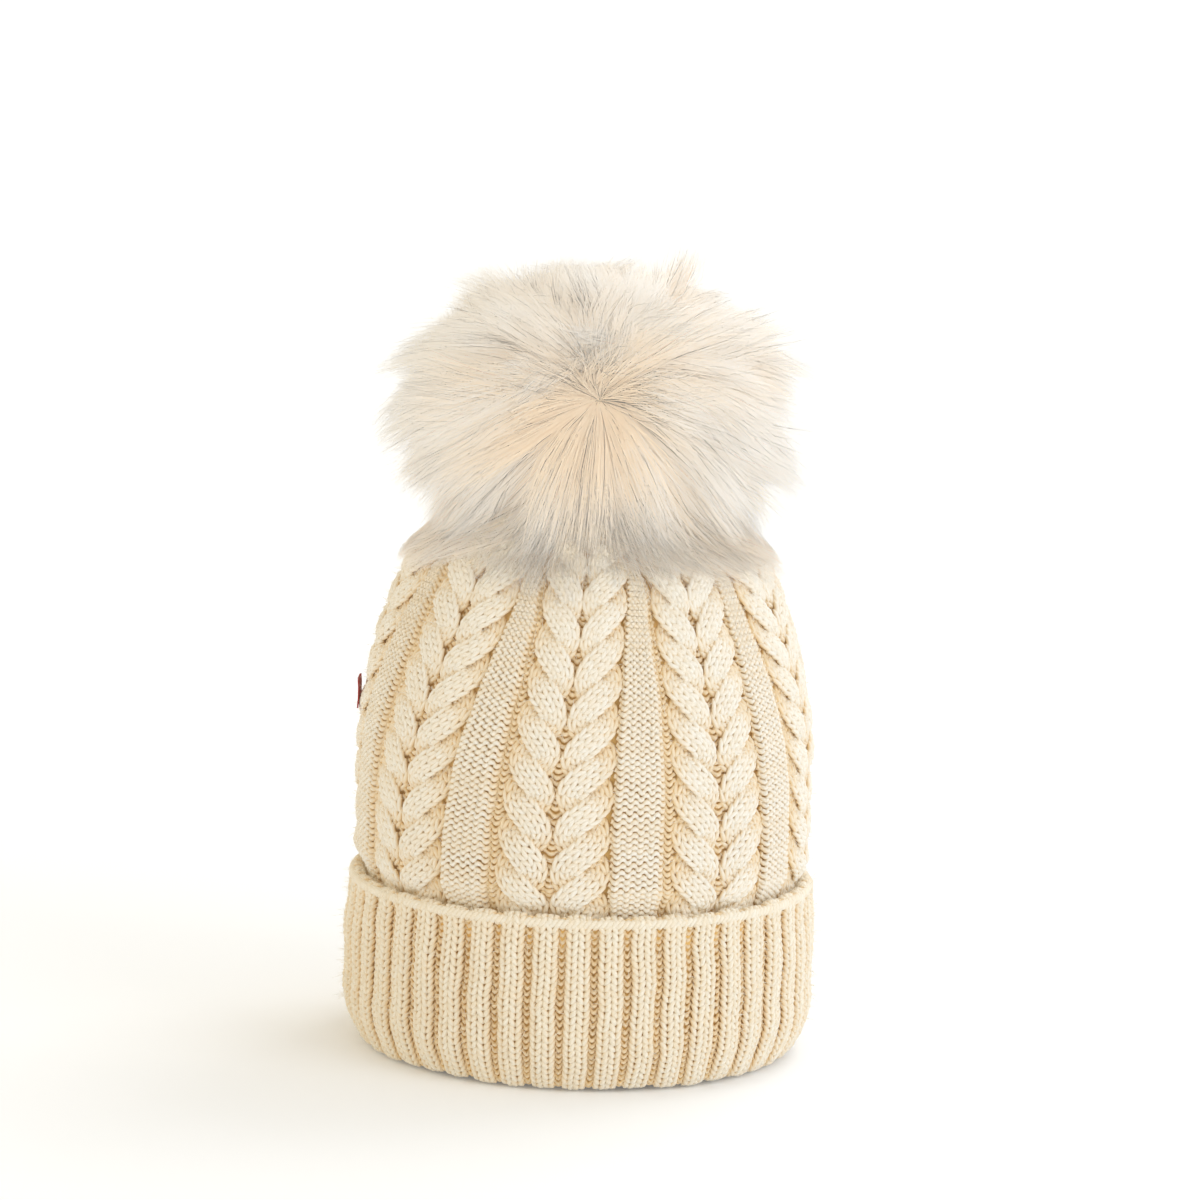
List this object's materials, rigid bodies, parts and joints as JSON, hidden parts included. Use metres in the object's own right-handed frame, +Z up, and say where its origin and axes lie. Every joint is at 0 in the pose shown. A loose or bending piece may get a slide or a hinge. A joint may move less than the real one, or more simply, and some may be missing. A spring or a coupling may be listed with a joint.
{
  "type": "pom pom beanie",
  "caption": "Cable-knit winter beanie with a turned-up ribbed cuff, fleece lining and a large detachable fur pom on top.",
  "frame": {"origin": "centre of the ring that the cuff rests on", "axes": "+Z up through the crown and the pom, -Y towards the front of the hat, +X towards the wearer's left"},
  "size_m": [0.1686, 0.1686, 0.2865],
  "materials": {
    "knit": "soft matt cream acrylic and wool yarn, cable knit",
    "knit_rib": "soft matt cream acrylic and wool yarn, rib knit",
    "yarn": "matt cream yarn",
    "fleece": "brushed off-white fleece",
    "thread": "matt sewing thread",
    "side_label": "woven satin ribbon, blank",
    "care_label": "printed-care ribbon left blank, satin",
    "felt": "pressed wool felt",
    "snap_metal": "nickel-washed brass, satin",
    "spring_steel": "drawn wire",
    "base_disc": "thin moulded disc, matt",
    "backing": "knitted backing cloth",
    "stuffing": "loose polyester fibre",
    "fur": "long off-white fur with tan patches"
  },
  "bodies": {
    "hat": {"knit_crown": "knit", "ribbed_cuff": "knit_rib", "lining_gore_1": "fleece", "lining_gore_2": "fleece", "lining_gore_3": "fleece", "lining_gore_4": "fleece", "lining_seam_threads": "thread", "lining_hem_thread": "thread", "back_seam_yarn": "yarn", "side_label": "side_label", "care_label": "care_label"},
    "crown_flex": {"crown_flex_ring": "knit"},
    "snap_seat": {"crown_centre": "knit", "crown_gather_yarn": "yarn", "inner_felt_washer": "felt", "outer_felt_washer": "felt", "snap_post_cap": "snap_metal", "snap_stud": "snap_metal"},
    "snap_grip": {"snap_spring": "spring_steel"},
    "pom": {"snap_socket": "snap_metal", "snap_socket_cap": "snap_metal", "pom_base_disc": "base_disc", "pom_drawstring": "thread", "pom_backing": "backing", "pom_stuffing": "stuffing", "pom_fur_pile": "fur"}
  },
  "joints": [
    {"name": "pom_nod", "type": "hinge", "parent": "hat", "child": "crown_flex", "pos_m": [0, 0, 0.19025], "axis": [1, 0, 0], "range_deg": [-10, 10], "stiffness_Nm_per_rad": 0.25},
    {"name": "pom_sway", "type": "hinge", "parent": "crown_flex", "child": "snap_seat", "pos_m": [0, 0, 0.19025], "axis": [0, 1, 0], "range_deg": [-10, 10], "stiffness_Nm_per_rad": 0.25},
    {"name": "pom_pull_off", "type": "slide", "parent": "snap_seat", "child": "snap_grip", "axis": [0, 0, 1], "range_m": [0, 0.05]},
    {"name": "pom_spin", "type": "hinge", "parent": "snap_grip", "child": "pom", "pos_m": [0, 0, 0.198], "axis": [0, 0, 1], "continuous": true}
  ]
}
